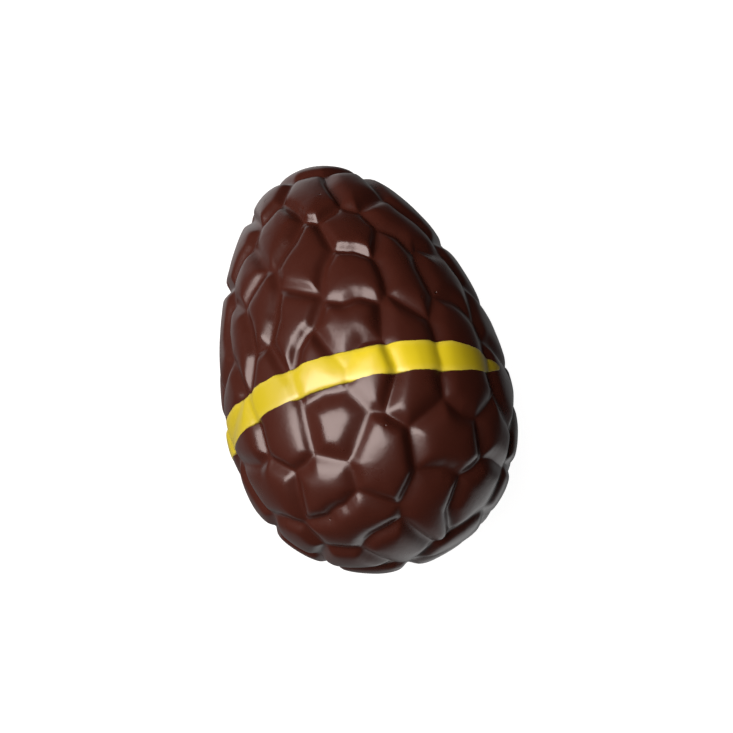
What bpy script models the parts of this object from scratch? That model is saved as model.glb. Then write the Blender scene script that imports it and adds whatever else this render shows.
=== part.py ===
"""A small solid moulded chocolate egg, covered in slightly irregular raised cells."""

import math
import random

import bmesh
import bpy
from mathutils import Matrix, Vector

# Sizes in millimetres, turned to metres at the end.
HALF_LENGTH = 17.75
GIRTH = 11.683
BLUNT_SHIFT = 0.216
POINT_FILL = 0.108

GROOVE_DEPTH = 0.42
CROWN = 0.0
# Distance in from the middle of the groove, and height above the skin.
RINGS = (
    (0.16, -GROOVE_DEPTH),
    (0.62, -0.07),
    (1.25, -0.01),
)
LONGEST_STEP = 2.4
# On the unit ball that the cells are laid out on.
TINY_EDGE = 0.035

# The egg lies on its side with the narrow end dipped, and a small flat carries it.
DIP = 8.4
REST_CUT = 0.2

# Each raised cell grows from a core line: height of its middle along the egg, longitude
# round the egg from the top, then half the rise and half the sweep of the line.
SHOWN_CELLS = (
    (17.4, 0, 0, 0),
    (14.4, -47, 0, 0),
    (12.8, -4, 0.6, -3),
    (12.6, 25, 0, 3),
    (11.2, -64, 0.5, 3),
    (10.1, -31, 0.4, 4),
    (8.0, 10.5, -0.5, 4),
    (8.7, 41, -0.8, 8),
    (10.0, 64, -0.8, 4),
    (7.2, -50, 0, 3),
    (6.3, -14.5, 0.9, 3.5),
    (3.5, 4, 0, 3.5),
    (3.7, 27, 1.6, -1),
    (2.7, 50, -0.1, 4),
    (5.0, 72, -0.8, 2),
    (4.0, -74, -1.5, 0),
    (2.2, -58, -1, 3),
    (3.1, -42, 1.2, 0),
    (0.6, -27.5, 1.1, 4.5),
    (-1.5, -3.5, 0.5, 5.5),
    (-3.3, -18.5, -0.1, 1.5),
    (-5.3, 3, -0.4, 1.5),
    (-5.0, 17, -2.5, -2),
    (-4.8, 44.5, -2.9, 0),
    (-0.9, 72, -0.9, 2),
    (-6.5, 72, -1, 1),
    (-1.9, -71, -0.9, -1),
    (-5.0, -42.5, -3.0, -0.5),
    (-5.8, -69, -0.6, 1),
    (-9.1, -20, 0, 0),
    (-13.1, -4.5, -0.9, -2),
    (-12.1, 33, -0.1, 7),
    (-10.8, 62, 0, 4),
    (-10.0, 90, 0, 0),
    (-10.8, -68, -1.1, 6),
    (-13.5, -41, 0.1, 6),
    (-14.3, -88, 0, 0),
    (-15.7, -40, 0, 14),
    (-16.7, -98, 0, 0),
    (-16.2, 30, -0.6, 5),
    (-15.4, 59, 0.7, 5),
    (-16.6, 108, 0, 0),
    (-17.5, -18, 0, 0),
)

# The far side carries on in rows: height, first longitude, last longitude, cells in the row.
FAR_ROWS = (
    (15.3, 120, 240, 3),
    (11.4, 106, 262, 5),
    (6.4, 98, 262, 6),
    (0.2, 102, 258, 7),
    (-4.6, 98, 262, 8),
    (-9.2, 110, 262, 7),
    (-13.4, 98, 242, 6),
    (-16.3, 148, 212, 2),
)
ROW_LEAN = 12
FAR_WANDER = 0.35
SEED = 6


def clear_scene():
    for item in list(bpy.data.objects):
        bpy.data.objects.remove(item, do_unlink=True)


def radius_at(turn):
    """Radius of the egg at an angle from its narrow end."""
    c = math.cos(turn)
    return GIRTH * math.sin(turn) * (1 - BLUNT_SHIFT * c + POINT_FILL * c * c)


def ball_point(height, longitude):
    """The unit direction that stands for a place on the egg."""
    turn = math.acos(height / HALF_LENGTH)
    round_ = math.radians(longitude)
    flat = math.sin(turn)
    return Vector((flat * math.sin(round_), math.cos(turn), flat * math.cos(round_)))


def egg_point(direction):
    """The place on the egg's skin that a direction stands for."""
    turn = math.acos(max(-1.0, min(1.0, direction.normalized().y)))
    across = Vector((direction.x, 0, direction.z))
    if across.length > 1e-9:
        across = across.normalized() * radius_at(turn)
    return Vector((across.x, HALF_LENGTH * math.cos(turn), across.z))


def egg_normal(direction):
    """Outward normal of the skin there."""
    turn = math.acos(max(-1.0, min(1.0, direction.normalized().y)))
    step = 1e-4
    before = max(turn - step, 1e-6)
    after = min(turn + step, math.pi - 1e-6)
    fall = HALF_LENGTH * (math.cos(after) - math.cos(before))
    swell = radius_at(after) - radius_at(before)
    across = Vector((direction.x, 0, direction.z))
    if across.length < 1e-9:
        return Vector((0, math.copysign(1, direction.y), 0))
    out = across.normalized() * -fall
    return Vector((out.x, swell, out.z)).normalized()


def cell_cores():
    """One list of directions for each cell: three along a core line, or one at a point."""
    cores = []
    for height, longitude, rise, sweep in SHOWN_CELLS:
        steps = (-1, 0, 1) if rise or sweep else (0,)
        cores.append([ball_point(height + k * rise, longitude + k * sweep) for k in steps])
    chance = random.Random(SEED)
    for height, first, last, count in FAR_ROWS:
        gap = (last - first) / (count - 1)
        for k in range(count):
            lift = FAR_WANDER * chance.uniform(-1, 1)
            drift = FAR_WANDER * ROW_LEAN * chance.uniform(-1, 1)
            if height == 0.2 and abs(first + k * gap - 180) < 1:
                lift = drift = 0
            cores.append([ball_point(height + lift, first + k * gap + drift)])
    return cores


def cut_cage(cores):
    """A block cut once for each core, so that every cell is one facet of the cage."""
    cage = bmesh.new()
    owner = cage.faces.layers.int.new("cell")
    bmesh.ops.create_cube(cage, size=6)
    for face in cage.faces:
        face[owner] = -1
    for cell, directions in enumerate(cores):
        for direction in directions:
            everything = cage.verts[:] + cage.edges[:] + cage.faces[:]
            cut = bmesh.ops.bisect_plane(
                cage, geom=everything, dist=1e-7, plane_co=direction,
                plane_no=direction, clear_outer=True,
            )
            rim = [e for e in cut["geom_cut"] if isinstance(e, bmesh.types.BMEdge)]
            if len(rim) < 3:
                continue
            made = bmesh.ops.contextual_create(cage, geom=rim)
            for face in made["faces"]:
                face[owner] = cell
    cage.normal_update()
    return cage, owner


def join_facets(cage, owner):
    """Facets that grew from one core line become one cell, and tiny edges close up."""
    inside = [
        e for e in cage.edges
        if len(e.link_faces) == 2 and e.link_faces[0][owner] == e.link_faces[1][owner]
    ]
    bmesh.ops.dissolve_edges(cage, edges=inside, use_verts=False, use_face_split=False)
    bmesh.ops.remove_doubles(cage, verts=cage.verts[:], dist=TINY_EDGE)


def onto_egg(cage):
    """The cage drawn onto the floor of the grooves, with long edges bent to the skin."""
    long_edges = []
    for edge in cage.edges:
        ends = [egg_point(v.co) for v in edge.verts]
        if (ends[0] - ends[1]).length > LONGEST_STEP:
            long_edges.append(edge)
    bmesh.ops.bisect_edges(cage, edges=long_edges, cuts=1)
    for vert in cage.verts:
        vert.co = egg_point(vert.co) - egg_normal(vert.co) * GROOVE_DEPTH


def skin_direction(point):
    """The direction that stands for the skin under or over a point near the egg."""
    across = Vector((point.x, 0, point.z))
    slope = math.atan2(across.length, point.y)
    low, high = 0.0, math.pi
    for _ in range(40):
        turn = (low + high) / 2
        if math.atan2(radius_at(turn), HALF_LENGTH * math.cos(turn)) < slope:
            low = turn
        else:
            high = turn
    across = across.normalized() * math.sin(turn)
    return Vector((across.x, math.cos(turn), across.z))


def seated(point, height):
    """The point moved to one height measured from the skin."""
    direction = skin_direction(point)
    return egg_point(direction) + egg_normal(direction) * height


def nearest_on_core(point, core):
    """The place on a cell's core line that is nearest to a point."""
    if len(core) == 1:
        return core[0].copy()
    along = core[-1] - core[0]
    share = (point - core[0]).dot(along) / along.length_squared
    return core[0] + along * max(0.0, min(1.0, share))


def half_width(outline, core):
    """How far, on average, the sides of a cell are from its core line."""
    reach = 0.0
    for k, corner in enumerate(outline):
        middle = (outline[k - 1] + corner) / 2
        along = (corner - outline[k - 1]).normalized()
        reach += (nearest_on_core(middle, core) - middle).cross(along).length
    return reach / len(outline)


def raise_cell(cage, face, core):
    """Groove floor, bevel and crowned top of one cell, as rings drawn in to its core line."""
    outline = [v.co.copy() for v in face.verts]
    anchors = [nearest_on_core(corner, core) for corner in outline]
    reach = half_width(outline, core)
    last_ring = outline
    for width, height in RINGS:
        share = min(0.8, width / reach)
        ring = [seated(c.lerp(a, share), height) for c, a in zip(outline, anchors)]
        bmesh.ops.inset_individual(cage, faces=[face], thickness=0)
        # Each new corner starts on the old one that it came from.
        for vert in face.verts:
            k = min(range(len(outline)), key=lambda n: (last_ring[n] - vert.co).length)
            vert.co = ring[k]
        last_ring = ring
    poked = bmesh.ops.poke(cage, faces=[face])
    for vert in poked["verts"]:
        vert.co = seated(vert.co, CROWN)


def rest_flat(cage):
    """Turns the egg to how it lies and planes a small flat where it touches the table."""
    dip = Matrix.Rotation(math.radians(-DIP), 4, "X")
    bmesh.ops.transform(cage, matrix=dip, verts=cage.verts[:])
    low = min(v.co.z for v in cage.verts) + REST_CUT
    everything = cage.verts[:] + cage.edges[:] + cage.faces[:]
    cut = bmesh.ops.bisect_plane(
        cage, geom=everything, dist=1e-4, plane_co=(0, 0, low), plane_no=(0, 0, -1),
        clear_outer=True,
    )
    rim = [e for e in cut["geom_cut"] if isinstance(e, bmesh.types.BMEdge)]
    bmesh.ops.contextual_create(cage, geom=rim)
    return low


def centre_on_rest(cage, low):
    """Moves the egg so that its box stands centred on the origin."""
    middle_x = (min(v.co.x for v in cage.verts) + max(v.co.x for v in cage.verts)) / 2
    middle_y = (min(v.co.y for v in cage.verts) + max(v.co.y for v in cage.verts)) / 2
    bmesh.ops.translate(cage, vec=(-middle_x, -middle_y, -low), verts=cage.verts[:])
    bmesh.ops.scale(cage, vec=(0.001, 0.001, 0.001), verts=cage.verts[:])


def chocolate():
    """Dark, glossy chocolate."""
    material = bpy.data.materials.new("dark_chocolate")
    material.use_nodes = True
    shader = material.node_tree.nodes["Principled BSDF"]
    shader.inputs["Base Color"].default_value = (0.022, 0.0075, 0.004, 1)
    shader.inputs["Roughness"].default_value = 0.28
    return material


def make_egg(collection):
    cores = cell_cores()
    cage, owner = cut_cage(cores)
    join_facets(cage, owner)
    onto_egg(cage)
    lines = [[egg_point(direction) for direction in core] for core in cores]
    for face in cage.faces[:]:
        raise_cell(cage, face, lines[face[owner]])
    low = rest_flat(cage)
    centre_on_rest(cage, low)
    bmesh.ops.triangulate(cage, faces=cage.faces[:])
    bmesh.ops.recalc_face_normals(cage, faces=cage.faces[:])
    mesh = bpy.data.meshes.new("egg")
    cage.to_mesh(mesh)
    cage.free()
    mesh.materials.append(chocolate())
    egg = bpy.data.objects.new("egg", mesh)
    collection.objects.link(egg)
    return egg


def main():
    clear_scene()
    parts = bpy.data.collections.new("chocolate_egg")
    bpy.context.scene.collection.children.link(parts)
    make_egg(parts)


main()
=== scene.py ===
import math
import random

import bmesh
import bpy
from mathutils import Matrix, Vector


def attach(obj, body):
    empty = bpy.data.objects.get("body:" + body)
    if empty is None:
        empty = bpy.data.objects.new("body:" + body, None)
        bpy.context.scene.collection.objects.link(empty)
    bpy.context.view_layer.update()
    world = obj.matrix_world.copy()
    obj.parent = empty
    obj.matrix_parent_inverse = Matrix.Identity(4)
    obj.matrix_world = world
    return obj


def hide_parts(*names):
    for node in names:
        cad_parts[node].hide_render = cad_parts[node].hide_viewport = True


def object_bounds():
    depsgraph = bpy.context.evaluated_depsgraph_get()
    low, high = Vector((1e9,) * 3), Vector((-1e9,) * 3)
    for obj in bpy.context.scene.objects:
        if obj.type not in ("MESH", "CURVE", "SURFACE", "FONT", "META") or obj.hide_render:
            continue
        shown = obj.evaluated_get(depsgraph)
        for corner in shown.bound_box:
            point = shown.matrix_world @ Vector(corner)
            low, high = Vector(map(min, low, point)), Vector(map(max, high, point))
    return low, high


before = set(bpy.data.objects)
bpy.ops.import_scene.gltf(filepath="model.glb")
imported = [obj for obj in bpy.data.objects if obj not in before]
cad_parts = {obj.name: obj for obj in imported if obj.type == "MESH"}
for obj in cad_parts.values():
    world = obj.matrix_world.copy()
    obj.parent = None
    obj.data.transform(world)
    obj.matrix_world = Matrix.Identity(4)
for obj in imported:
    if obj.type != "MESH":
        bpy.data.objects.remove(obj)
cadLow, cadHigh = [corner.copy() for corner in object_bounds()]
print("frame loaded, egg box", [round(v * 1000, 1) for v in cadHigh - cadLow], "mm")

eggForm = {
    "halfLength": 17.75,  # mm, middle to narrow end
    "girth": 11.683,
    "bluntShift": 0.216,  # how much fuller the blunt end is
    "pointFill": 0.108,
    "dip": 8.4,  # degrees the narrow end hangs
}

# Raised cells on the side that shows: height along the egg and longitude from its top,
# then half the rise and half the sweep of the line that the cell grows from.
shownCells = (
    (17.4, 0, 0, 0), (14.4, -47, 0, 0), (12.8, -4, 0.6, -3), (12.6, 25, 0, 3),
    (11.2, -64, 0.5, 3), (10.1, -31, 0.4, 4), (8.0, 10.5, -0.5, 4), (8.7, 41, -0.8, 8),
    (10.0, 64, -0.8, 4), (7.2, -50, 0, 3), (6.3, -14.5, 0.9, 3.5), (3.5, 4, 0, 3.5),
    (3.7, 27, 1.6, -1), (2.7, 50, -0.1, 4), (5.0, 72, -0.8, 2), (4.0, -74, -1.5, 0),
    (2.2, -58, -1, 3), (3.1, -42, 1.2, 0), (0.6, -27.5, 1.1, 4.5), (-1.5, -3.5, 0.5, 5.5),
    (-3.3, -18.5, -0.1, 1.5), (-5.3, 3, -0.4, 1.5), (-5.0, 17, -2.5, -2), (-4.8, 44.5, -2.9, 0),
    (-0.9, 72, -0.9, 2), (-6.5, 72, -1, 1), (-1.9, -71, -0.9, -1), (-5.0, -42.5, -3.0, -0.5),
    (-5.8, -69, -0.6, 1), (-9.1, -20, 0, 0), (-13.1, -4.5, -0.9, -2), (-12.1, 33, -0.1, 7),
    (-10.8, 62, 0, 4), (-10.0, 90, 0, 0), (-10.8, -68, -1.1, 6), (-13.5, -41, 0.1, 6),
    (-14.3, -88, 0, 0), (-15.7, -40, 0, 14), (-16.7, -98, 0, 0), (-16.2, 30, -0.6, 5),
    (-15.4, 59, 0.7, 5), (-16.6, 108, 0, 0), (-17.5, -18, 0, 0),
)

farCells = {
    # height, first longitude, last longitude, how many
    "rows": (
        (15.3, 120, 240, 3), (11.4, 106, 262, 5), (6.4, 98, 262, 6), (0.2, 102, 258, 7),
        (-4.6, 98, 262, 8), (-9.2, 110, 262, 7), (-13.4, 98, 242, 6), (-16.3, 148, 212, 2),
    ),
    "wander": 0.35,
    "lean": 12,
    "seed": 6,
}

# How single cells differ. Lean: degrees round the egg, then along it. Edge: width of the
# bevel, its softness from 0 to 1, width of the groove's floor. Dome: how domed the cell is.
plainCell = {"lean": (0, 0), "edge": (1.4, 0.7, 0.7), "dome": 1.0}
crispCell = {"edge": (1.0, 0.3, 0.9)}
softCell = {"edge": (2.1, 1.0, 0.4)}
ownShapes = {
    **{place: crispCell for place in (
        (14.4, -47), (11.2, -64), (7.2, -50), (6.3, -14.5), (2.2, -58), (3.1, -42), (4.0, -74),
        (-1.9, -71))},
    **{place: softCell for place in (
        (12.6, 25), (3.7, 27), (-5.0, 17), (-15.7, -40), (-10.8, -68), (-5.8, -69),
        (8.7, 41), (2.7, 50), (-4.8, 44.5), (-10.8, 62), (-15.4, 59))},
    (-16.2, 30): {"lean": (-5, 5), "edge": (1.6, 0.8, 0.4)},
    (10.1, -31): {"lean": (-3, 0), "edge": (1.3, 0.3, 0.9)},
    (12.8, -4): {"lean": (0, 4), "edge": (0.8, 0.4, 0.3)},
    (-9.1, -20): {"lean": (1, 0), "edge": (1.9, 0.0, 1.3), "dome": 0.4},
    (-13.1, -4.5): {"lean": (-5, 1), "edge": (1.2, 0.5, 0.9), "dome": 1.5},
    (-5.3, 3): {"lean": (-6, -3), "edge": (1.2, 0.5, 1.0)},
    (0.6, -27.5): {"edge": (0.9, 0.2, 1.2)},
    (8.0, 10.5): {"lean": (2, 7), "edge": (0.8, 0.4, 0.3)},
    (3.5, 4): {"lean": (-3, -3), "edge": (1.3, 0.8, 0.5), "dome": 1.2},
    (-1.5, -3.5): {"lean": (-2, -6), "edge": (1.6, 0.7, 0.9), "dome": 1.5},
    (-3.3, -18.5): {"lean": (2, -3), "edge": (1.0, 0.3, 1.1)},
    (-13.5, -41): {"lean": (3, 3), "edge": (2.0, 1.0, 0.5)},
    (-12.1, 33): {"lean": (-3, 0), "edge": (1.8, 0.7, 1.0), "dome": 1.3},
    (-5.0, -42.5): {"edge": (0.8, 0.3, 1.0)},
}
farShapes = {"seed": 11, "lean": 2.0, "bevel": (0.8, 1.3), "softness": (0.3, 0.9), "dome": (0.8, 1.4)}


def ballPoint(height, longitude):
    turn = math.acos(height / eggForm["halfLength"])
    around = math.radians(longitude)
    return Vector((math.sin(turn) * math.sin(around), math.cos(turn),
                   math.sin(turn) * math.cos(around)))


# A cell's core points, and the shape that it takes.
def makeCells():
    cells = []
    for height, longitude, rise, sweep in shownCells:
        steps = (-1, 0, 1) if rise or sweep else (0,)
        core = [ballPoint(height + k * rise, longitude + k * sweep) for k in steps]
        cells.append((core, {**plainCell, **ownShapes.get((height, longitude), {})}))
    chance = random.Random(farCells["seed"])
    mood = random.Random(farShapes["seed"])
    for height, first, last, count in farCells["rows"]:
        gap = (last - first) / (count - 1)
        for k in range(count):
            lift = farCells["wander"] * chance.uniform(-1, 1)
            drift = farCells["wander"] * farCells["lean"] * chance.uniform(-1, 1)
            if height == 0.2 and abs(first + k * gap - 180) < 1:
                lift = drift = 0
            tilt = farShapes["lean"]
            shape = {"lean": (mood.uniform(-tilt, tilt), mood.uniform(-tilt, tilt)),
                     "edge": (mood.uniform(*farShapes["bevel"]), mood.uniform(*farShapes["softness"]), 1.0),
                     "dome": mood.uniform(*farShapes["dome"])}
            cells.append(([ballPoint(height + lift, first + k * gap + drift)], shape))
    return cells


# A block planed once for each core point, on a ball that is later stretched to the egg.
def makeCage():
    cage = bmesh.new()
    owner = cage.faces.layers.int.new("cell")
    marks = {name: cage.faces.layers.float_vector.new(name) for name in ("lean", "edge")}
    domeOf = cage.faces.layers.float.new("dome")
    cells = makeCells()
    bmesh.ops.create_cube(cage, size=6)
    for number, (core, _) in enumerate(cells):
        for direction in core:
            cut = bmesh.ops.bisect_plane(
                cage, geom=cage.verts[:] + cage.edges[:] + cage.faces[:], dist=1e-7,
                plane_co=direction, plane_no=direction, clear_outer=True)
            rim = [e for e in cut["geom_cut"] if isinstance(e, bmesh.types.BMEdge)]
            if len(rim) > 2:
                for face in bmesh.ops.contextual_create(cage, geom=rim)["faces"]:
                    face[owner] = number
    inside = [e for e in cage.edges if e.link_faces[0][owner] == e.link_faces[1][owner]]
    bmesh.ops.dissolve_edges(cage, edges=inside, use_verts=False, use_face_split=False)
    bmesh.ops.remove_doubles(cage, verts=cage.verts[:], dist=0.035)
    bmesh.ops.recalc_face_normals(cage, faces=cage.faces[:])
    for face in cage.faces:
        shape = cells[face[owner]][1]
        outward = face.calc_center_median().normalized()
        sideways = Vector((outward.z, 0, -outward.x)).normalized()
        around, along = [math.tan(math.radians(-angle)) for angle in shape["lean"]]
        face[marks["lean"]] = sideways * around + Vector((0, 1, 0)) * along
        face[marks["edge"]] = Vector(shape["edge"])
        face[domeOf] = shape["dome"]
    print("cells cut,", len(cage.faces))
    mesh = bpy.data.meshes.new("cellCage")
    cage.to_mesh(mesh)
    cage.free()
    return mesh


# Short ways to add and join nodes.
class Wiring:
    def __init__(self, tree):
        self.tree = tree

    def add(self, kind, *feeds, **settings):
        node = self.tree.nodes.new(kind)
        for name, value in settings.items():
            setattr(node, name, value)
        for k, feed in enumerate(feeds):
            self.feed(node.inputs[k], feed)
        return node

    def feed(self, socket, feed):
        if isinstance(feed, bpy.types.NodeSocket):
            self.tree.links.new(feed, socket)
        elif feed is not None:
            socket.default_value = feed

    def calc(self, operation, *feeds, clamp=False):
        return self.add("ShaderNodeMath", *feeds, operation=operation, use_clamp=clamp).outputs[0]

    def plus(self, *feeds):
        total = feeds[0]
        for feed in feeds[1:]:
            total = self.calc("ADD", total, feed)
        return total

    def times(self, *feeds):
        total = feeds[0]
        for feed in feeds[1:]:
            total = self.calc("MULTIPLY", total, feed)
        return total

    def minus(self, a, b):
        return self.calc("SUBTRACT", a, b)

    def over(self, a, b, clamp=False):
        return self.calc("DIVIDE", a, b, clamp=clamp)

    # From a at 0 to b at 1.
    def blend(self, share, a, b):
        return self.plus(a, self.times(share, self.minus(b, a)))

    def ramp(self, value, *limits, smooth=False):
        kind = "SMOOTHSTEP" if smooth else "LINEAR"
        return self.add("ShaderNodeMapRange", value, *limits, interpolation_type=kind).outputs[0]

    def noise(self, place, scale, detail=1.0, flat=False):
        node = self.add("ShaderNodeTexNoise", noise_dimensions="2D" if flat else "3D")
        self.feed(node.inputs["Vector"], place)
        self.feed(node.inputs["Scale"], scale)
        node.inputs["Detail"].default_value = detail
        return node.outputs[0]

    def turn(self, operation, *feeds):
        node = self.add("ShaderNodeVectorMath", operation=operation)
        for k, feed in enumerate(feeds):
            socket = node.inputs["Scale"] if operation == "SCALE" and k == 1 else node.inputs[k]
            self.feed(socket, feed)
        scalar = operation in ("DOT_PRODUCT", "LENGTH", "DISTANCE")
        return node.outputs["Value"] if scalar else node.outputs["Vector"]

    def split(self, vector):
        return self.add("ShaderNodeSeparateXYZ", vector).outputs

    def join(self, x, y, z):
        return self.add("ShaderNodeCombineXYZ", x, y, z).outputs[0]


def openGroup(name, inputs, outputs):
    tree = bpy.data.node_groups.new(name, "GeometryNodeTree")
    for kind, label, value in inputs:
        socket = tree.interface.new_socket(label, in_out="INPUT", socket_type="NodeSocket" + kind)
        if value is not None:
            socket.default_value = value
    for kind, label in outputs:
        tree.interface.new_socket(label, in_out="OUTPUT", socket_type="NodeSocket" + kind)
    wiring = Wiring(tree)
    return tree, wiring, wiring.add("NodeGroupInput").outputs, wiring.add("NodeGroupOutput")


def useGroup(wiring, tree, feeds):
    node = wiring.add("GeometryNodeGroup", node_tree=tree)
    for name, feed in feeds.items():
        wiring.feed(node.inputs[name], feed)
    return node.outputs


def asInputs(sizes):
    return [("Int" if isinstance(value, int) else "Float", name, value) for name, value in sizes.items()]


# Turns a direction on the ball into a place on the egg's skin.
def makeSkinGroup():
    form = eggForm
    tree, w, given, out = openGroup(
        "eggSkin",
        [("Vector", "Direction", None)] + asInputs({
            "Half length": form["halfLength"] / 1000, "Girth": form["girth"] / 1000,
            "Blunt shift": form["bluntShift"], "Point fill": form["pointFill"]}),
        (("Vector", "Place"), ("Vector", "Outward"), ("Vector", "Unit")))
    unit = w.turn("NORMALIZE", given["Direction"])
    x, c, z = w.split(unit)
    shift, fill = given["Blunt shift"], given["Point fill"]
    fullness = w.plus(w.minus(1.0, w.times(shift, c)), w.times(fill, c, c))
    across = w.times(given["Girth"], fullness)
    place = w.join(w.times(across, x), w.times(given["Half length"], c), w.times(across, z))
    sinSquare = w.minus(1.0, w.times(c, c))
    bend = w.times(sinSquare, w.minus(shift, w.times(fill, 2.0, c)))
    swell = w.times(given["Girth"], w.plus(w.times(c, fullness), bend))
    outward = w.join(w.times(given["Half length"], x), swell, w.times(given["Half length"], z))
    w.feed(out.inputs["Place"], place)
    w.feed(out.inputs["Outward"], w.turn("NORMALIZE", outward))
    w.feed(out.inputs["Unit"], unit)
    return tree


reliefSizes = {
    "Groove depth": 0.0004,
    "Floor half width": 0.00028,
    "Crease depth": 0.00003,
    "Crease half width": 0.0001,
    "Bevel width": 0.00058,
    "Dome rise": 0.00024,
    "Dome reach": 0.0026,
    "Edge drop": 0.00005,
    "Edge reach": 0.0005,
    "Groove wander": 0.00012,
    "Wander scale": 330.0,
    "Shallowest": 0.75,
    "Deepest": 1.12,
    "Pale side": 0.6,  # how deep the grooves stay on the right side
    "Depth scale": 110.0,
    "Waviness": 0.00008,
    "Wave scale": 420.0,
}


# How high the moulded surface stands over the skin at a place, less than nothing in a groove.
def makeReliefGroup(skin):
    inputs = [("Geometry", "Cage", None), ("Vector", "Direction", None)] + asInputs(reliefSizes)
    tree, w, given, out = openGroup("moulding", inputs, (("Float", "Height"),))
    here = useGroup(w, skin, {"Direction": given["Direction"]})
    lines = w.add("GeometryNodeDeleteGeometry", given["Cage"], domain="FACE", mode="ONLY_FACE")
    fine = w.add("GeometryNodeSubdivideMesh", lines.outputs[0], 3)
    ownPlace = w.add("GeometryNodeInputPosition").outputs[0]
    laid = w.add("GeometryNodeSetPosition", fine.outputs[0])
    w.feed(laid.inputs["Position"], useGroup(w, skin, {"Direction": ownPlace})["Place"])
    near = w.add("GeometryNodeProximity", target_element="EDGES")
    w.feed(near.inputs[0], laid.outputs[0])
    w.feed(near.inputs["Sample Position"], here["Place"])
    toLine = near.outputs["Distance"]
    wander = w.times(w.minus(w.noise(here["Place"], given["Wander scale"]), 0.5), given["Groove wander"])
    distance = w.plus(toLine, w.times(wander, w.over(toLine, given["Bevel width"], clamp=True)))

    # What the cage's face says of its cell.
    own = w.add("GeometryNodeCaptureAttribute", given["Cage"], domain="FACE")
    told = {"middle": "VECTOR", "lean": "VECTOR", "edge": "VECTOR", "dome": "FLOAT"}
    for k, (name, kind) in enumerate(told.items()):
        told[name] = kind if kind == "FLOAT" else "FLOAT_VECTOR"
        own.capture_items.new(kind, name)
        mark = w.add("GeometryNodeInputNamedAttribute", name, data_type=told[name]).outputs[0]
        w.feed(own.inputs[k + 1], ownPlace if name == "middle" else mark)
    picked = {}
    for k, (name, kind) in enumerate(told.items()):
        look = w.add("GeometryNodeSampleNearestSurface", data_type=kind)
        w.feed(look.inputs["Mesh"], own.outputs[0])
        w.feed(look.inputs["Value"], own.outputs[k + 1])
        w.feed(look.inputs["Sample Position"], here["Unit"])
        picked[name] = look.outputs[0]
    bevelShare, softness, floorShare = w.split(picked["edge"])

    # The groove: a floor, then a bevel that is straight on crisp cells and rounded on soft ones.
    inFromFloor = w.minus(distance, w.times(given["Floor half width"], floorShare))
    ramp = w.over(inFromFloor, w.times(given["Bevel width"], bevelShare), clamp=True)
    eased = w.ramp(ramp, 0.0, 1.0, 0.0, 1.0, smooth=True)
    left = w.minus(1.0, ramp)
    rounded = w.minus(1.0, w.times(left, left))
    rise = w.blend(softness, ramp, w.blend(0.7, eased, rounded))
    strength = w.ramp(w.noise(here["Place"], given["Depth scale"], 0.5), 0.3, 0.7,
                      given["Shallowest"], given["Deepest"])
    paling = w.ramp(w.split(here["Unit"])[0], 0.1, 0.8, 1.0, given["Pale side"])
    hollow = w.times(given["Groove depth"], strength, paling, w.minus(rise, 1.0))
    inCrease = w.over(toLine, given["Crease half width"], clamp=True)
    crease = w.times(given["Crease depth"], w.minus(inCrease, 1.0))

    # The cell's own body: domed, turned down a little at its edge, and leaning.
    short = w.minus(1.0, w.over(distance, given["Dome reach"], clamp=True))
    dome = w.times(given["Dome rise"], w.minus(w.times(picked["dome"], w.minus(1.0, w.times(short, short))), 1.0))
    fade = w.calc("EXPONENT", w.times(w.over(distance, given["Edge reach"]), -1.0))
    fall = w.times(given["Edge drop"], fade, -1.0)
    offset = w.turn("SUBTRACT", here["Place"], useGroup(w, skin, {"Direction": picked["middle"]})["Place"])
    tipped = w.times(w.turn("DOT_PRODUCT", offset, picked["lean"]), rise)
    wave = w.times(w.minus(w.noise(here["Place"], given["Wave scale"], 1.5), 0.5), given["Waviness"])
    w.feed(out.inputs["Height"], w.plus(hollow, crease, dome, fall, tipped, wave))
    return tree


softening = {
    "reach": 0.022,  # on a ball of radius 1, so about a third of a millimetre
    "rings": ((0.5, 5, 1.0), (1.0, 7, 0.6)),  # share of the reach, how many looks, weight of each
    "middle": 1.5,
}


# The same moulding, averaged over a small spot round the place, as chocolate rounds its mould.
def makeSoftGroup(skin, moulding):
    look = softening
    inputs = [("Geometry", "Cage", None), ("Vector", "Direction", None)] + asInputs(reliefSizes)
    tree, w, given, out = openGroup("softMoulding", inputs, (("Float", "Height"),))
    unit = useGroup(w, skin, {"Direction": given["Direction"]})["Unit"]
    sideways = w.turn("NORMALIZE", w.turn("CROSS_PRODUCT", unit, (0.0, 1.0, 0.0)))
    upwards = w.turn("CROSS_PRODUCT", unit, sideways)
    spots = [(0.0, 0.0, look["middle"])]
    for share, count, weight in look["rings"]:
        for k in range(count):
            turn = 2 * math.pi * (k + share) / count
            reach = look["reach"] * share
            spots.append((reach * math.cos(turn), reach * math.sin(turn), weight))
    heights = []
    for right, up, weight in spots:
        shift = w.turn("ADD", w.turn("SCALE", sideways, right), w.turn("SCALE", upwards, up))
        feeds = {"Cage": given["Cage"], "Direction": w.turn("ADD", unit, shift),
                 **{name: given[name] for name in reliefSizes}}
        heights.append(w.times(useGroup(w, moulding, feeds)["Height"], weight))
    w.feed(out.inputs["Height"], w.over(w.plus(*heights), sum(spot[2] for spot in spots)))
    return tree


# Lays the egg on its side, sets it down and planes the spot that it rests on.
def layDown(w, geometry, given):
    turned = w.add("GeometryNodeTransform", geometry)
    w.feed(turned.inputs["Rotation"], w.join(w.times(given["Dip"], -1.0), 0.0, 0.0))
    w.feed(turned.inputs["Translation"], given["Set down"])
    x, y, z = w.split(w.add("GeometryNodeInputPosition").outputs[0])
    flat = w.add("GeometryNodeSetPosition", turned.outputs[0])
    w.feed(flat.inputs["Position"], w.join(x, y, w.calc("MAXIMUM", z, 0.0)))
    return flat.outputs[0]


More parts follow.
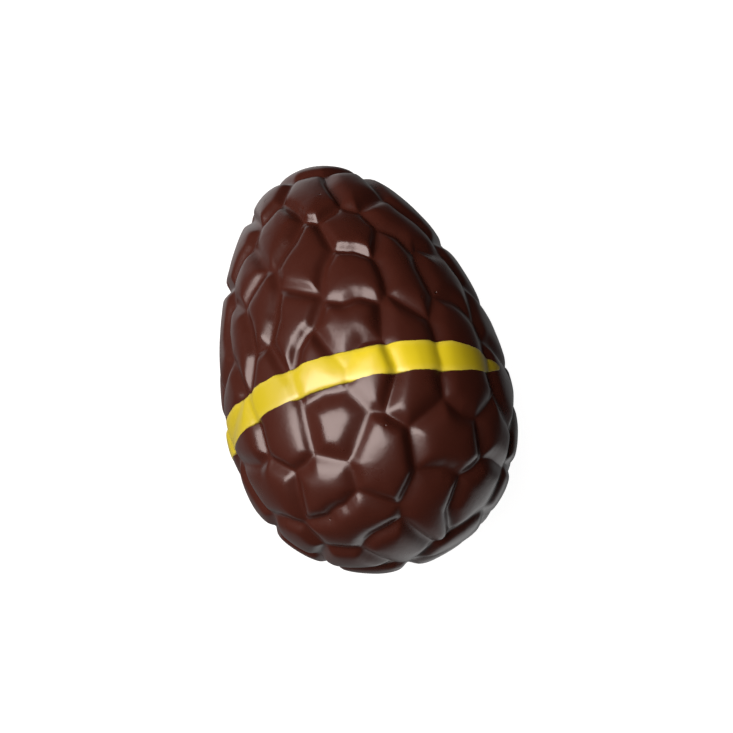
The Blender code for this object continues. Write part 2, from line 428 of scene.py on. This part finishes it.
# Smooths, realizes and coats what a tree has made.
def finishTree(w, geometry, given, out):
    smooth = w.add("GeometryNodeSetShadeSmooth", layDown(w, geometry, given))
    real = w.add("GeometryNodeRealizeInstances", smooth.outputs[0])
    coated = w.add("GeometryNodeSetMaterial", real.outputs[0])
    w.feed(coated.inputs["Material"], given["Material"])
    w.feed(out.inputs[0], coated.outputs[0])


bodySizes = {
    "Grid points": 12,
    "Crowding": 1.5,  # how much closer the grid gets towards the grooves
    "Weld": 0.0001,
}


# The chocolate itself: a fine grid for each corner of each cell.
def makeBodyTree(skin, moulding):
    inputs = [("Geometry", "Geometry", None), ("Float", "Dip", 0.0), ("Vector", "Set down", None),
              ("Material", "Material", None)] + asInputs(bodySizes) + asInputs(reliefSizes)
    tree, w, given, out = openGroup("chocolateBody", inputs, (("Geometry", "Geometry"),))
    position = w.add("GeometryNodeInputPosition").outputs[0]
    corner = w.add("GeometryNodeInputIndex").outputs[0]

    def placeOfCorner(shift):
        moved = w.add("GeometryNodeOffsetCornerInFace", corner, shift).outputs[0]
        at = w.add("GeometryNodeFieldAtIndex", domain="POINT", data_type="FLOAT_VECTOR")
        w.feed(at.inputs["Value"], position)
        w.feed(at.inputs["Index"], w.add("GeometryNodeVertexOfCorner", moved).outputs[0])
        return at.outputs[0]

    middle = w.add("GeometryNodeFieldAtIndex", domain="FACE", data_type="FLOAT_VECTOR")
    w.feed(middle.inputs["Value"], position)
    w.feed(middle.inputs["Index"], w.add("GeometryNodeFaceOfCorner", corner).outputs[0])
    here = placeOfCorner(0)
    after = w.turn("SCALE", w.turn("ADD", here, placeOfCorner(1)), 0.5)
    before = w.turn("SCALE", w.turn("ADD", here, placeOfCorner(-1)), 0.5)
    keep = w.add("GeometryNodeCaptureAttribute", given["Geometry"], domain="CORNER")
    for k, (name, feed) in enumerate((("here", here), ("after", after), ("before", before),
                                      ("middle", middle.outputs[0]))):
        keep.capture_items.new("VECTOR", name)
        w.feed(keep.inputs[k + 1], feed)
    corners = w.add("GeometryNodeMeshToPoints", keep.outputs[0], mode="CORNERS")

    sheet = w.add("GeometryNodeMeshGrid", 1.0, 1.0, given["Grid points"], given["Grid points"])
    spots = w.add("GeometryNodeCaptureAttribute", sheet.outputs[0], domain="POINT")
    spots.capture_items.new("VECTOR", "spot")
    w.feed(spots.inputs[1], position)
    copies = w.add("GeometryNodeInstanceOnPoints", corners.outputs[0])
    w.feed(copies.inputs["Instance"], spots.outputs[0])
    real = w.add("GeometryNodeRealizeInstances", copies.outputs[0])
    s, t, _ = w.split(w.turn("ADD", spots.outputs[1], (0.5, 0.5, 0.0)))
    s, t = [w.calc("POWER", share, given["Crowding"]) for share in (s, t)]
    sLess, tLess = w.minus(1.0, s), w.minus(1.0, t)
    mixed = w.turn("SCALE", keep.outputs[1], w.times(sLess, tLess))
    for k, a, b in ((2, s, tLess), (3, sLess, t), (4, s, t)):
        mixed = w.turn("ADD", mixed, w.turn("SCALE", keep.outputs[k], w.times(a, b)))
    spread = w.add("GeometryNodeSetPosition", real.outputs[0])
    w.feed(spread.inputs["Position"], mixed)
    welded = w.add("GeometryNodeMergeByDistance", spread.outputs[0])
    w.feed(welded.inputs["Distance"], given["Weld"])

    relief = useGroup(w, moulding, {"Cage": given["Geometry"], "Direction": position,
                                    **{name: given[name] for name in reliefSizes}})
    base = useGroup(w, skin, {"Direction": position})
    raised = w.add("GeometryNodeSetPosition", welded.outputs[0])
    w.feed(raised.inputs["Position"],
           w.turn("ADD", base["Place"], w.turn("SCALE", base["Outward"], relief["Height"])))
    finishTree(w, raised.outputs[0], given, out)
    return tree


stripeSizes = {
    "Across points": 17,
    "Along points": 620,
    "First longitude": math.radians(-112),
    "Last longitude": math.radians(66),
    "Height": -0.00478,
    "Sideways slant": 0.00056,
    "Width": 0.0029,
    "End taper": 0.19,  # share of the length over which each end narrows
    "End roundness": 0.65,
    "Thickness": 0.00004,
    "Sunk edge": 0.00006,
    "Body": 0.0002,
    "Filled grooves": 0.72,
    "Edge wander": 0.0003,
    "Wander pitch": 7.0,
    "Closing steps": 60.0,
    "Weld": 0.000002,
}


# A thin painted band that follows the moulded surface and dips under it at its edges.
def makeStripeTree(skin, moulding):
    inputs = [("Geometry", "Geometry", None), ("Float", "Dip", 0.0), ("Vector", "Set down", None),
              ("Material", "Material", None)] + asInputs(stripeSizes) + asInputs(reliefSizes)
    tree, w, given, out = openGroup("paintedStripe", inputs, (("Geometry", "Geometry"),))
    sheet = w.add("GeometryNodeMeshGrid", 1.0, 1.0, given["Along points"], given["Across points"])
    spots = w.add("GeometryNodeCaptureAttribute", sheet.outputs[0], domain="POINT")
    spots.capture_items.new("VECTOR", "spot")
    w.feed(spots.inputs[1], w.add("GeometryNodeInputPosition").outputs[0])
    along, across, _ = w.split(spots.outputs[1])
    along = w.plus(along, 0.5)
    across = w.times(across, 2.0)
    longitude = w.blend(along, given["First longitude"], given["Last longitude"])

    toEnd = w.calc("MINIMUM", along, w.minus(1.0, along))
    taper = w.over(toEnd, given["End taper"], clamp=True)
    taper = w.calc("POWER", w.calc("SINE", w.times(taper, math.pi / 2)), given["End roundness"])
    wavers = []
    for offset in (3.0, 11.0):
        wave = w.noise(w.join(longitude, offset, 0.0), given["Wander pitch"], 3.0, flat=True)
        wavers.append(w.times(w.minus(wave, 0.5), given["Edge wander"]))
    side = w.times(w.plus(across, 1.0), 0.5)
    reach = w.times(given["Width"], 0.5, taper, across)
    centre = w.minus(given["Height"], w.times(given["Sideways slant"], w.calc("SINE", longitude)))
    height = w.plus(centre, w.blend(side, wavers[1], wavers[0]), reach)
    c = w.over(height, eggForm["halfLength"] / 1000)
    flat = w.calc("SQRT", w.minus(1.0, w.times(c, c)))
    direction = w.join(w.times(flat, w.calc("SINE", longitude)), c,
                       w.times(flat, w.calc("COSINE", longitude)))

    rim = w.calc("MAXIMUM", w.calc("ABSOLUTE", across), w.minus(1.0, w.times(toEnd, given["Closing steps"])))
    keep = w.add("GeometryNodeCaptureAttribute", spots.outputs[0], domain="POINT")
    for k, (name, feed) in enumerate((("direction", direction), ("paint", w.join(rim, longitude, 0.0)))):
        keep.capture_items.new("VECTOR", name)
        w.feed(keep.inputs[k + 1], feed)
    feeds = {"Cage": given["Geometry"], "Direction": keep.outputs[1],
             **{name: given[name] for name in reliefSizes}}
    under = useGroup(w, moulding, feeds)["Height"]
    shallow = {"Groove depth": w.times(given["Groove depth"], w.minus(1.0, given["Filled grooves"])),
               "Crease depth": 0.0}
    filled = useGroup(w, moulding, {**feeds, **shallow})["Height"]
    base = useGroup(w, skin, {"Direction": keep.outputs[1]})
    edge = w.calc("POWER", w.calc("MINIMUM", w.split(keep.outputs[2])[0], 1.0), 8.0)
    sunk = w.minus(under, given["Sunk edge"])
    top = w.blend(edge, w.plus(filled, given["Thickness"]), sunk)
    bottom = w.blend(edge, w.minus(under, given["Body"]), sunk)
    sheets = []
    for level in (top, bottom):
        moved = w.add("GeometryNodeSetPosition", keep.outputs[0])
        w.feed(moved.inputs["Position"], w.turn("ADD", base["Place"], w.turn("SCALE", base["Outward"], level)))
        sheets.append(moved.outputs[0])
    both = w.add("GeometryNodeJoinGeometry")
    w.feed(both.inputs[0], w.add("GeometryNodeFlipFaces", sheets[1]).outputs[0])
    w.feed(both.inputs[0], sheets[0])
    welded = w.add("GeometryNodeMergeByDistance", both.outputs[0])
    w.feed(welded.inputs["Distance"], given["Weld"])
    noted = w.add("GeometryNodeStoreNamedAttribute", welded.outputs[0], data_type="FLOAT_VECTOR", domain="POINT")
    w.feed(noted.inputs["Name"], "paint")
    w.feed(noted.inputs["Value"], keep.outputs[2])
    finishTree(w, noted.outputs[0], given, out)
    return tree


# Runs a tree on the cage and keeps the result as a plain mesh at the origin.
def growPiece(name, tree, settings):
    helper = bpy.data.objects.new(name + "Maker", cageMesh)
    bpy.context.scene.collection.objects.link(helper)
    modifier = helper.modifiers.new("grow", "NODES")
    modifier.node_group = tree
    for item in tree.interface.items_tree:
        if item.in_out == "INPUT" and item.name in settings:
            modifier[item.identifier] = settings[item.name]
    bpy.context.view_layer.update()
    graph = bpy.context.evaluated_depsgraph_get()
    mesh = bpy.data.meshes.new_from_object(helper.evaluated_get(graph))
    bpy.data.objects.remove(helper, do_unlink=True)
    mesh.name = name
    piece = bpy.data.objects.new(name, mesh)
    bpy.context.scene.collection.objects.link(piece)
    print(name, "made,", len(mesh.polygons), "faces")
    return piece


def openMaterial(name):
    material = bpy.data.materials.new(name)
    material.use_nodes = True
    material.node_tree.nodes.clear()
    w = Wiring(material.node_tree)
    shader = w.add("ShaderNodeBsdfPrincipled")
    w.add("ShaderNodeOutputMaterial", shader.outputs[0])
    return material, w, shader


def mixColors(w, share, a, b):
    node = w.add("ShaderNodeMix", data_type="RGBA")
    for name, feed in (("Factor", share), ("A", a), ("B", b)):
        w.feed(node.inputs[name], feed)
    return node.outputs["Result"]


chocolateLook = {
    "dark": (0.029, 0.0068, 0.0039, 1),
    "light": (0.035, 0.0085, 0.0052, 1),
    "cloudScale": 260.0,
    "roughness": (0.26, 0.32),
    "ior": 1.5,
    "grainScale": 2600.0,
    "grainStrength": 0.25,
    "grainDepth": 0.00004,
    "pitScale": 700.0,  # bubbles: about this many cells to the metre, few of them used
    "pitShare": 0.16,
    "pitRadius": 0.09,
    "pitDepth": 0.00006,
}


def chocolateMaterial():
    look = chocolateLook
    material, w, shader = openMaterial("darkChocolate")
    place = w.add("ShaderNodeTexCoord").outputs["Object"]
    cloud = w.noise(place, look["cloudScale"], 4.0)
    w.feed(shader.inputs["Base Color"], mixColors(w, cloud, look["dark"], look["light"]))
    w.feed(shader.inputs["Roughness"], w.ramp(cloud, 0.3, 0.7, *look["roughness"]))
    shader.inputs["IOR"].default_value = look["ior"]
    bubbles = w.add("ShaderNodeTexVoronoi")
    w.feed(bubbles.inputs["Vector"], place)
    bubbles.inputs["Scale"].default_value = look["pitScale"]
    used = w.calc("LESS_THAN", w.split(bubbles.outputs["Color"])[0], look["pitShare"])
    hole = w.times(used, w.ramp(bubbles.outputs["Distance"], look["pitRadius"] * 0.5, look["pitRadius"], 1.0, 0.0))
    pits = w.add("ShaderNodeBump")
    pits.inputs["Distance"].default_value = look["pitDepth"]
    w.feed(pits.inputs["Height"], w.minus(1.0, hole))
    grain = w.add("ShaderNodeBump")
    grain.inputs["Strength"].default_value = look["grainStrength"]
    grain.inputs["Distance"].default_value = look["grainDepth"]
    w.feed(grain.inputs["Height"], w.noise(place, look["grainScale"], 3.0))
    w.feed(grain.inputs["Normal"], pits.outputs[0])
    w.feed(shader.inputs["Normal"], grain.outputs[0])
    return material


stripeLook = {
    "yellow": (0.50, 0.42, 0.005, 1),
    "pale": (0.54, 0.47, 0.05, 1),
    "cloudScale": 900.0,
    "roughness": 0.34,
    "ior": 1.6,
    "softEdge": 0.16,  # share of the half width over which the paint thins out
    "fray": 0.12,
    "paintedShade": 0.66,  # painted shade: how much darker the yellow is painted at its long end
    "paintedShadeFromTo": (-0.6, 0.3),
    "thinFromTo": (0.55, 1.1),  # longitude, in radians, over which the paint thins to its end
    "thinnest": 0.55,
}


def stripeMaterial():
    look = stripeLook
    material, w, shader = openMaterial("yellowStripe")
    place = w.add("ShaderNodeTexCoord").outputs["Object"]
    rim, longitude, _ = w.split(w.add("ShaderNodeAttribute", attribute_name="paint").outputs["Vector"])
    cloud = w.noise(place, look["cloudScale"], 3.0)
    paleness = w.calc("MULTIPLY", w.ramp(rim, 0.5, 0.95, 0.1, 0.8), w.plus(cloud, 0.5), clamp=True)
    paint = mixColors(w, paleness, look["yellow"], look["pale"])
    # Painted shade: the yellow is painted darker towards its long end, by longitude.
    paintedShade = w.ramp(longitude, *look["paintedShadeFromTo"], look["paintedShade"], 1.0)
    paint = w.turn("SCALE", paint, paintedShade)
    frayed = w.plus(rim, w.times(w.minus(cloud, 0.5), look["fray"]))
    bare = w.ramp(frayed, 1.0 - look["softEdge"], 0.99, 0.0, 1.0, smooth=True)
    thin = w.ramp(longitude, *look["thinFromTo"], 0.0, look["thinnest"], smooth=True)
    bare = w.calc("MAXIMUM", bare, thin)
    w.feed(shader.inputs["Base Color"], mixColors(w, bare, paint, chocolateLook["light"]))
    shader.inputs["Roughness"].default_value = look["roughness"]
    shader.inputs["IOR"].default_value = look["ior"]
    return material


# The middle and the top of the egg as it lies, so that it meets the CAD model's box.
def eggSpan():
    form = eggForm
    tilt = math.radians(form["dip"])
    ys, zs = [], []
    for k in range(721):
        turn = math.pi * k / 720
        c = math.cos(turn)
        radius = form["girth"] * math.sin(turn) * (1 - form["bluntShift"] * c + form["pointFill"] * c * c)
        for side in (radius, -radius):
            ys.append(form["halfLength"] * c * math.cos(tilt) + side * math.sin(tilt))
            zs.append(side * math.cos(tilt) - form["halfLength"] * c * math.sin(tilt))
    return (min(ys) + max(ys)) / 2000, max(zs) / 1000


cageMesh = makeCage()
skinGroup = makeSkinGroup()
mouldingGroup = makeSoftGroup(skinGroup, makeReliefGroup(skinGroup))
middleY, topZ = eggSpan()
lying = {"Dip": math.radians(eggForm["dip"]), "Set down": (0.0, -middleY, cadHigh.z - topZ)}

body = growPiece("chocolateBody", makeBodyTree(skinGroup, mouldingGroup),
                 {**lying, **bodySizes, **reliefSizes, "Material": chocolateMaterial()})
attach(body, "root")
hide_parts("egg")

stripe = growPiece("yellowStripe", makeStripeTree(skinGroup, mouldingGroup),
                   {**lying, **stripeSizes, **reliefSizes, "Material": stripeMaterial()})
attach(stripe, "root")
print("pieces placed")

studio = {
    "azimuth": -13.93,
    "elevation": 75.97,
    "distance": 0.4514,
    "lens": 267.7,
    "aimRight": 0.000753,
    "aimUp": -0.000232,
}


def addCamera():
    azimuth, elevation = math.radians(studio["azimuth"]), math.radians(studio["elevation"])
    back = Vector((math.sin(azimuth) * math.cos(elevation), -math.cos(azimuth) * math.cos(elevation),
                   math.sin(elevation)))
    right = Vector((math.cos(azimuth), math.sin(azimuth), 0))
    up = back.cross(right)
    target = Vector(lying["Set down"]) + right * studio["aimRight"] + up * studio["aimUp"]
    lens = bpy.data.cameras.new("studioCamera")
    lens.lens = studio["lens"]
    lens.clip_start, lens.clip_end = 0.01, 10
    camera = bpy.data.objects.new("studioCamera", lens)
    camera.location = target + back * studio["distance"]
    camera.rotation_mode = "QUATERNION"
    camera.rotation_quaternion = (-back).to_track_quat("-Z", "Y")
    bpy.context.scene.collection.objects.link(camera)
    bpy.context.scene.camera = camera


cove = {
    "radius": 1.6,
    "bend": 0.5,
    "bendSteps": 12,
    "height": 1.6,
    "paper": 0.15,
    "glow": 0.97,
    "sink": 0.00002,
}


# A pale cove: a round floor that curves up into a wall. It is kept out of the gloss, which
# sees only the softbox and the studio air.
def addCove():
    look = cove
    mesh = bpy.data.meshes.new("studioCove")
    form = bmesh.new()
    flatTo = look["radius"] - look["bend"]
    profile = [(0.001, 0.0), (flatTo, 0.0)]
    for k in range(1, look["bendSteps"] + 1):
        turn = math.pi / 2 * k / look["bendSteps"]
        profile.append((flatTo + look["bend"] * math.sin(turn), look["bend"] * (1 - math.cos(turn))))
    profile.append((look["radius"], look["height"]))
    line = [form.verts.new((r, 0, z)) for r, z in profile]
    edges = [form.edges.new(pair) for pair in zip(line, line[1:])]
    bmesh.ops.spin(form, geom=line + edges, axis=(0, 0, 1), cent=(0, 0, 0), angle=2 * math.pi,
                   steps=96, use_merge=True)
    bmesh.ops.holes_fill(form, edges=form.edges[:], sides=96)
    bmesh.ops.remove_doubles(form, verts=form.verts[:], dist=1e-5)
    bmesh.ops.recalc_face_normals(form, faces=form.faces[:])
    form.to_mesh(mesh)
    form.free()
    material, w, shader = openMaterial("palePaper")
    shader.inputs["Base Color"].default_value = (look["paper"],) * 3 + (1,)
    shader.inputs["Roughness"].default_value = 0.9
    shader.inputs["Specular IOR Level"].default_value = 0.0
    shader.inputs["Emission Color"].default_value = (1, 1, 1, 1)
    shader.inputs["Emission Strength"].default_value = look["glow"]
    mesh.materials.append(material)
    piece = bpy.data.objects.new("studioCove", mesh)
    piece.location.z = -look["sink"]
    piece.visible_glossy = False
    piece.visible_shadow = False
    piece.visible_diffuse = False
    bpy.context.scene.collection.objects.link(piece)


softboxes = {
    "keySoftbox": {
        "towards": (-0.485, -0.013, 0.875), "size": (0.46, 0.66), "radiance": 9.0,
        "tint": (1, 0.87, 0.83), "inGloss": True,
    },
    "fillSoftbox": {
        "towards": (-0.8, 0.35, 0.48), "size": (0.5, 0.5), "radiance": 3.4,
        "tint": (1, 0.87, 0.83), "inGloss": False,
    },
    "distance": 0.6,
    "aim": (0, 0, 0.012),
}


def addSoftbox(name):
    look = softboxes[name]
    width, length = look["size"]
    lamp = bpy.data.lights.new(name, "AREA")
    lamp.shape = "RECTANGLE"
    lamp.size, lamp.size_y = width, length
    lamp.energy = look["radiance"] * math.pi * width * length
    lamp.color = look["tint"]
    towards = Vector(look["towards"]).normalized()
    holder = bpy.data.objects.new(name, lamp)
    holder.location = Vector(softboxes["aim"]) + towards * softboxes["distance"]
    holder.rotation_mode = "QUATERNION"
    holder.rotation_quaternion = (-towards).to_track_quat("-Z", "Y")
    holder.visible_glossy = look["inGloss"]
    bpy.context.scene.collection.objects.link(holder)


# Glows: the way they come from, how near to it they start and are full, how strong.
air = {
    "dim": 0.012,
    "below": 0.27,
    "belowFromTo": (-0.35, -0.8),
    "glows": (
        ((0.37, -0.56, -0.74), (0.82, 0.97), 1.1),
        ((-0.25, 0.75, -0.62), (0.84, 0.97), 0.7),
    ),
    "left": 0.03,
    "leftFromTo": (0.0, -0.9),
}


# Dim air, paler from below, from the left and from two corners.
def addAir():
    look = air
    world = bpy.data.worlds.new("studioAir")
    world.use_nodes = True
    world.node_tree.nodes.clear()
    w = Wiring(world.node_tree)
    direction = w.turn("NORMALIZE", w.add("ShaderNodeTexCoord").outputs["Generated"])
    x, _, z = w.split(direction)
    below = w.ramp(z, *look["belowFromTo"], 0.0, look["below"], smooth=True)
    left = w.ramp(x, *look["leftFromTo"], 0.0, look["left"])
    total = w.plus(look["dim"], below, left)
    for way, fromTo, strength in look["glows"]:
        nearness = w.turn("DOT_PRODUCT", direction, Vector(way).normalized())
        total = w.plus(total, w.ramp(nearness, *fromTo, 0.0, strength, smooth=True))
    back = w.add("ShaderNodeBackground", None, total)
    w.add("ShaderNodeOutputWorld", back.outputs[0])
    bpy.context.scene.world = world


addCove()
addSoftbox("keySoftbox")
addSoftbox("fillSoftbox")
addAir()
addCamera()
bpy.context.scene.view_settings.view_transform = "Standard"
print("studio lit")
